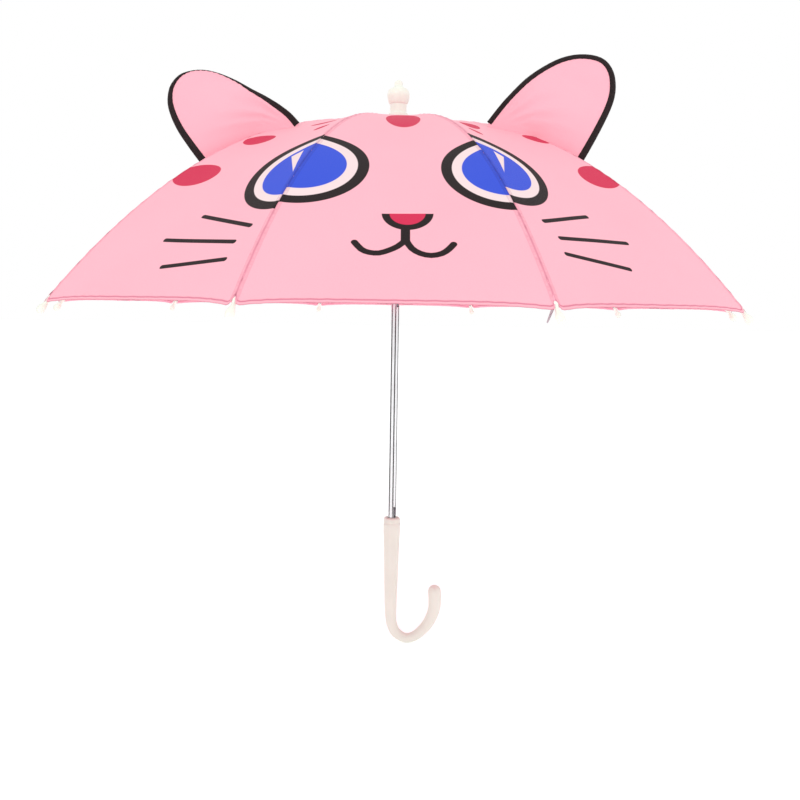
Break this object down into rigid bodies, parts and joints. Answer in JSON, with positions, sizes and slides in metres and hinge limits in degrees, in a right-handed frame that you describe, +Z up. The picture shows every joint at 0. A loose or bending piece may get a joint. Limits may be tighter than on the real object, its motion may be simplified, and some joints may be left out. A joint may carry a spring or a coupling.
{
  "type": "children's umbrella",
  "caption": "Open stick umbrella with a pink printed cat-face canopy, two standing ears, a sliding runner with ribs and stretchers, steel shaft and plastic hook handle.",
  "frame": {"origin": "on the shaft's axis at the height of the handle's lowest point", "axes": "+Z up along the shaft to the ferrule, -Y towards the printed face, +X towards the handle's hook"},
  "size_m": [0.7098, 0.6754, 0.5852],
  "materials": {
    "chrome_steel": "bright plated steel tube",
    "rib_steel": "plated spring steel",
    "steel_wire": "drawn wire",
    "spring_steel": "dark tempered spring steel",
    "cream_plastic": "glossy moulded plastic",
    "white_plastic": "glossy moulded plastic",
    "pink_fabric": "coated plain-weave polyester with a printed face",
    "black_binding": "woven black binding tape"
  },
  "bodies": {
    "frame": {"shaft": "chrome_steel", "handle": "cream_plastic", "ferrule": "white_plastic", "rosette": "pink_fabric", "crown": "white_plastic", "crown_wire": "steel_wire", "crown_pin": "steel_wire", "top_stop": "steel_wire", "canopy": "pink_fabric"},
    "runner": {"runner": "white_plastic", "runner_wire": "steel_wire"},
    "top_catch": {"top_catch": "spring_steel"},
    "bottom_catch": {"bottom_catch": "spring_steel"},
    "rib_0": {"rib_0": "rib_steel"},
    "rib_end_0": {"rib_end_0": "rib_steel", "tip_0": "white_plastic", "tie_strap": "pink_fabric", "tie_loop": "black_binding"},
    "stretcher_0": {"stretcher_0": "rib_steel"},
    "rib_1": {"rib_1": "rib_steel", "ear_right": "pink_fabric", "ear_binding_right": "black_binding"},
    "rib_end_1": {"rib_end_1": "rib_steel", "tip_1": "white_plastic"},
    "stretcher_1": {"stretcher_1": "rib_steel"},
    "rib_2": {"rib_2": "rib_steel"},
    "rib_end_2": {"rib_end_2": "rib_steel", "tip_2": "white_plastic"},
    "stretcher_2": {"stretcher_2": "rib_steel"},
    "rib_3": {"rib_3": "rib_steel"},
    "rib_end_3": {"rib_end_3": "rib_steel", "tip_3": "white_plastic"},
    "stretcher_3": {"stretcher_3": "rib_steel"},
    "rib_4": {"rib_4": "rib_steel"},
    "rib_end_4": {"rib_end_4": "rib_steel", "tip_4": "white_plastic"},
    "stretcher_4": {"stretcher_4": "rib_steel"},
    "rib_5": {"rib_5": "rib_steel"},
    "rib_end_5": {"rib_end_5": "rib_steel", "tip_5": "white_plastic"},
    "stretcher_5": {"stretcher_5": "rib_steel"},
    "rib_6": {"rib_6": "rib_steel"},
    "rib_end_6": {"rib_end_6": "rib_steel", "tip_6": "white_plastic"},
    "stretcher_6": {"stretcher_6": "rib_steel"},
    "rib_7": {"rib_7": "rib_steel"},
    "rib_end_7": {"rib_end_7": "rib_steel", "tip_7": "white_plastic"},
    "stretcher_7": {"stretcher_7": "rib_steel"},
    "rib_8": {"rib_8": "rib_steel", "ear_left": "pink_fabric", "ear_binding_left": "black_binding"},
    "rib_end_8": {"rib_end_8": "rib_steel", "tip_8": "white_plastic"},
    "stretcher_8": {"stretcher_8": "rib_steel"},
    "rib_9": {"rib_9": "rib_steel"},
    "rib_end_9": {"rib_end_9": "rib_steel", "tip_9": "white_plastic"},
    "stretcher_9": {"stretcher_9": "rib_steel"}
  },
  "joints": [
    {"name": "runner_slide", "type": "slide", "parent": "frame", "child": "runner", "axis": [0, 0, -1], "range_m": [0, 0.22121], "deforming": ["canopy", "ear_left", "ear_right", "ear_binding_left", "ear_binding_right", "tie_strap", "tie_loop"]},
    {"name": "top_catch_press", "type": "slide", "parent": "frame", "child": "top_catch", "axis": [-0.5878, 0.809, 0], "range_m": [0, 0.0021], "stiffness_N_per_m": 300, "springref_m": -0.002},
    {"name": "bottom_catch_press", "type": "slide", "parent": "frame", "child": "bottom_catch", "axis": [-0.5878, 0.809, 0], "range_m": [0, 0.0021], "stiffness_N_per_m": 300, "springref_m": -0.002},
    {"name": "rib_hinge_0", "type": "hinge", "parent": "frame", "child": "rib_0", "pos_m": [0.00278, -0.00856, 0.5366], "axis": [0.9511, 0.309, 0], "range_deg": [0, 73.27]},
    {"name": "rib_flex_0", "type": "hinge", "parent": "rib_0", "child": "rib_end_0", "pos_m": [0.05361, -0.16499, 0.49969], "axis": [-0.9511, -0.309, 0], "range_deg": [0, 27.24]},
    {"name": "stretcher_hinge_0", "type": "hinge", "parent": "rib_0", "child": "stretcher_0", "pos_m": [0.05361, -0.16499, 0.49969], "axis": [-0.9511, -0.309, 0], "range_deg": [0, 127.56]},
    {"name": "rib_hinge_1", "type": "hinge", "parent": "frame", "child": "rib_1", "pos_m": [0.00728, -0.00529, 0.5366], "axis": [0.5878, 0.809, 0], "range_deg": [0, 73.27]},
    {"name": "rib_flex_1", "type": "hinge", "parent": "rib_1", "child": "rib_end_1", "pos_m": [0.14035, -0.10197, 0.49969], "axis": [-0.5878, -0.809, 0], "range_deg": [0, 27.24]},
    {"name": "stretcher_hinge_1", "type": "hinge", "parent": "rib_1", "child": "stretcher_1", "pos_m": [0.14035, -0.10197, 0.49969], "axis": [-0.5878, -0.809, 0], "range_deg": [0, 127.56]},
    {"name": "rib_hinge_2", "type": "hinge", "parent": "frame", "child": "rib_2", "pos_m": [0.009, 0, 0.5366], "axis": [0, 1, 0], "range_deg": [0, 73.27]},
    {"name": "rib_flex_2", "type": "hinge", "parent": "rib_2", "child": "rib_end_2", "pos_m": [0.17348, 0, 0.49969], "axis": [0, -1, 0], "range_deg": [0, 27.24]},
    {"name": "stretcher_hinge_2", "type": "hinge", "parent": "rib_2", "child": "stretcher_2", "pos_m": [0.17348, 0, 0.49969], "axis": [0, -1, 0], "range_deg": [0, 127.56]},
    {"name": "rib_hinge_3", "type": "hinge", "parent": "frame", "child": "rib_3", "pos_m": [0.00728, 0.00529, 0.5366], "axis": [-0.5878, 0.809, 0], "range_deg": [0, 73.27]},
    {"name": "rib_flex_3", "type": "hinge", "parent": "rib_3", "child": "rib_end_3", "pos_m": [0.14035, 0.10197, 0.49969], "axis": [0.5878, -0.809, 0], "range_deg": [0, 27.24]},
    {"name": "stretcher_hinge_3", "type": "hinge", "parent": "rib_3", "child": "stretcher_3", "pos_m": [0.14035, 0.10197, 0.49969], "axis": [0.5878, -0.809, 0], "range_deg": [0, 127.56]},
    {"name": "rib_hinge_4", "type": "hinge", "parent": "frame", "child": "rib_4", "pos_m": [0.00278, 0.00856, 0.5366], "axis": [-0.9511, 0.309, 0], "range_deg": [0, 73.27]},
    {"name": "rib_flex_4", "type": "hinge", "parent": "rib_4", "child": "rib_end_4", "pos_m": [0.05361, 0.16499, 0.49969], "axis": [0.9511, -0.309, 0], "range_deg": [0, 27.24]},
    {"name": "stretcher_hinge_4", "type": "hinge", "parent": "rib_4", "child": "stretcher_4", "pos_m": [0.05361, 0.16499, 0.49969], "axis": [0.9511, -0.309, 0], "range_deg": [0, 127.56]},
    {"name": "rib_hinge_5", "type": "hinge", "parent": "frame", "child": "rib_5", "pos_m": [-0.00278, 0.00856, 0.5366], "axis": [-0.9511, -0.309, 0], "range_deg": [0, 73.27]},
    {"name": "rib_flex_5", "type": "hinge", "parent": "rib_5", "child": "rib_end_5", "pos_m": [-0.05361, 0.16499, 0.49969], "axis": [0.9511, 0.309, 0], "range_deg": [0, 27.24]},
    {"name": "stretcher_hinge_5", "type": "hinge", "parent": "rib_5", "child": "stretcher_5", "pos_m": [-0.05361, 0.16499, 0.49969], "axis": [0.9511, 0.309, 0], "range_deg": [0, 127.56]},
    {"name": "rib_hinge_6", "type": "hinge", "parent": "frame", "child": "rib_6", "pos_m": [-0.00728, 0.00529, 0.5366], "axis": [-0.5878, -0.809, 0], "range_deg": [0, 73.27]},
    {"name": "rib_flex_6", "type": "hinge", "parent": "rib_6", "child": "rib_end_6", "pos_m": [-0.14035, 0.10197, 0.49969], "axis": [0.5878, 0.809, 0], "range_deg": [0, 27.24]},
    {"name": "stretcher_hinge_6", "type": "hinge", "parent": "rib_6", "child": "stretcher_6", "pos_m": [-0.14035, 0.10197, 0.49969], "axis": [0.5878, 0.809, 0], "range_deg": [0, 127.56]},
    {"name": "rib_hinge_7", "type": "hinge", "parent": "frame", "child": "rib_7", "pos_m": [-0.009, 0, 0.5366], "axis": [0, -1, 0], "range_deg": [0, 73.27]},
    {"name": "rib_flex_7", "type": "hinge", "parent": "rib_7", "child": "rib_end_7", "pos_m": [-0.17348, 0, 0.49969], "axis": [0, 1, 0], "range_deg": [0, 27.24]},
    {"name": "stretcher_hinge_7", "type": "hinge", "parent": "rib_7", "child": "stretcher_7", "pos_m": [-0.17348, 0, 0.49969], "axis": [0, 1, 0], "range_deg": [0, 127.56]},
    {"name": "rib_hinge_8", "type": "hinge", "parent": "frame", "child": "rib_8", "pos_m": [-0.00728, -0.00529, 0.5366], "axis": [0.5878, -0.809, 0], "range_deg": [0, 73.27]},
    {"name": "rib_flex_8", "type": "hinge", "parent": "rib_8", "child": "rib_end_8", "pos_m": [-0.14035, -0.10197, 0.49969], "axis": [-0.5878, 0.809, 0], "range_deg": [0, 27.24]},
    {"name": "stretcher_hinge_8", "type": "hinge", "parent": "rib_8", "child": "stretcher_8", "pos_m": [-0.14035, -0.10197, 0.49969], "axis": [-0.5878, 0.809, 0], "range_deg": [0, 127.56]},
    {"name": "rib_hinge_9", "type": "hinge", "parent": "frame", "child": "rib_9", "pos_m": [-0.00278, -0.00856, 0.5366], "axis": [0.9511, -0.309, 0], "range_deg": [0, 73.27]},
    {"name": "rib_flex_9", "type": "hinge", "parent": "rib_9", "child": "rib_end_9", "pos_m": [-0.05361, -0.16499, 0.49969], "axis": [-0.9511, 0.309, 0], "range_deg": [0, 27.24]},
    {"name": "stretcher_hinge_9", "type": "hinge", "parent": "rib_9", "child": "stretcher_9", "pos_m": [-0.05361, -0.16499, 0.49969], "axis": [-0.9511, 0.309, 0], "range_deg": [0, 127.56]}
  ],
  "couplings": [
    {"joint": "rib_hinge_0", "follows": "runner_slide", "rad_per_m": 5.7809},
    {"joint": "rib_flex_0", "follows": "runner_slide", "rad_per_m": 2.1492},
    {"joint": "stretcher_hinge_0", "follows": "runner_slide", "rad_per_m": 10.064},
    {"joint": "rib_hinge_1", "follows": "runner_slide", "rad_per_m": 5.7809},
    {"joint": "rib_flex_1", "follows": "runner_slide", "rad_per_m": 2.1492},
    {"joint": "stretcher_hinge_1", "follows": "runner_slide", "rad_per_m": 10.064},
    {"joint": "rib_hinge_2", "follows": "runner_slide", "rad_per_m": 5.7809},
    {"joint": "rib_flex_2", "follows": "runner_slide", "rad_per_m": 2.1492},
    {"joint": "stretcher_hinge_2", "follows": "runner_slide", "rad_per_m": 10.064},
    {"joint": "rib_hinge_3", "follows": "runner_slide", "rad_per_m": 5.7809},
    {"joint": "rib_flex_3", "follows": "runner_slide", "rad_per_m": 2.1492},
    {"joint": "stretcher_hinge_3", "follows": "runner_slide", "rad_per_m": 10.064},
    {"joint": "rib_hinge_4", "follows": "runner_slide", "rad_per_m": 5.7809},
    {"joint": "rib_flex_4", "follows": "runner_slide", "rad_per_m": 2.1492},
    {"joint": "stretcher_hinge_4", "follows": "runner_slide", "rad_per_m": 10.064},
    {"joint": "rib_hinge_5", "follows": "runner_slide", "rad_per_m": 5.7809},
    {"joint": "rib_flex_5", "follows": "runner_slide", "rad_per_m": 2.1492},
    {"joint": "stretcher_hinge_5", "follows": "runner_slide", "rad_per_m": 10.064},
    {"joint": "rib_hinge_6", "follows": "runner_slide", "rad_per_m": 5.7809},
    {"joint": "rib_flex_6", "follows": "runner_slide", "rad_per_m": 2.1492},
    {"joint": "stretcher_hinge_6", "follows": "runner_slide", "rad_per_m": 10.064},
    {"joint": "rib_hinge_7", "follows": "runner_slide", "rad_per_m": 5.7809},
    {"joint": "rib_flex_7", "follows": "runner_slide", "rad_per_m": 2.1492},
    {"joint": "stretcher_hinge_7", "follows": "runner_slide", "rad_per_m": 10.064},
    {"joint": "rib_hinge_8", "follows": "runner_slide", "rad_per_m": 5.7809},
    {"joint": "rib_flex_8", "follows": "runner_slide", "rad_per_m": 2.1492},
    {"joint": "stretcher_hinge_8", "follows": "runner_slide", "rad_per_m": 10.064},
    {"joint": "rib_hinge_9", "follows": "runner_slide", "rad_per_m": 5.7809},
    {"joint": "rib_flex_9", "follows": "runner_slide", "rad_per_m": 2.1492},
    {"joint": "stretcher_hinge_9", "follows": "runner_slide", "rad_per_m": 10.064}
  ]
}
